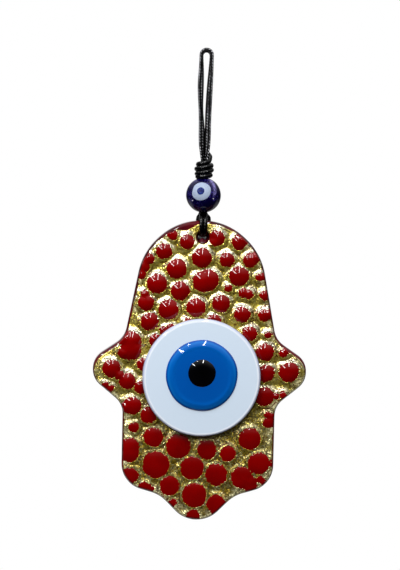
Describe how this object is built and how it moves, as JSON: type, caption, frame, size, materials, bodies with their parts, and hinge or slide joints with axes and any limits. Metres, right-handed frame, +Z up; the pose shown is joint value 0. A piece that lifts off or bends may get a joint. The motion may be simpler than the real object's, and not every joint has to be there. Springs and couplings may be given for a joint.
{
  "type": "hanging hand ornament",
  "caption": "Flat glass hand with rounded thumbs, gold and red dotted front and a stacked eye disc, hung by a knotted cord loop through an eye bead.",
  "frame": {"origin": "centre of the bend at the top of the hanging loop, where a hook or nail holds it", "axes": "+Z up along the hanging cord, +X to the right seen from the front, front faces -Y"},
  "size_m": [0.0746, 0.0145, 0.1652],
  "materials": {
    "hand_plate": "gloss",
    "glass_drops": "gloss",
    "eye_white": "gloss",
    "eye_blue": "gloss",
    "eye_pupil": "gloss",
    "bead_body": "gloss",
    "bead_eye_whites": "gloss",
    "bead_eye_pupils": "gloss",
    "gold_leaf": "gloss",
    "eye_pad": "gloss",
    "cord": "satin"
  },
  "bodies": {
    "hanger": {"loop_cord_front": "cord", "loop_cord_back": "cord"},
    "knot": {"stopper_knot": "cord", "core_strands": "cord"},
    "bead": {"bead_body": "bead_body", "bead_eye_whites": "bead_eye_whites", "bead_eye_pupils": "bead_eye_pupils"},
    "sling": {"sling_cord_left": "cord", "sling_cord_right": "cord"},
    "hand": {"hand_plate": "hand_plate", "gold_leaf": "gold_leaf", "glass_drops": "glass_drops", "eye_pad": "eye_pad", "eye_white": "eye_white", "eye_blue": "eye_blue", "eye_pupil": "eye_pupil"}
  },
  "joints": [
    {"name": "cord_twist", "type": "hinge", "parent": "hanger", "child": "knot", "pos_m": [0, 0, -0.036], "axis": [0, 0, 1], "range_deg": [-90, 90], "stiffness_Nm_per_rad": 0.0001},
    {"name": "bead_spin", "type": "hinge", "parent": "knot", "child": "bead", "pos_m": [0, 0, -0.04862], "axis": [0, 0, 1], "continuous": true},
    {"name": "hand_tilt", "type": "hinge", "parent": "knot", "child": "sling", "pos_m": [0, 0, -0.05472], "axis": [1, 0, 0], "range_deg": [-25, 25]},
    {"name": "hand_swing", "type": "hinge", "parent": "sling", "child": "hand", "pos_m": [0, 0, -0.06307], "axis": [0, 1, 0], "range_deg": [-20, 20]}
  ]
}
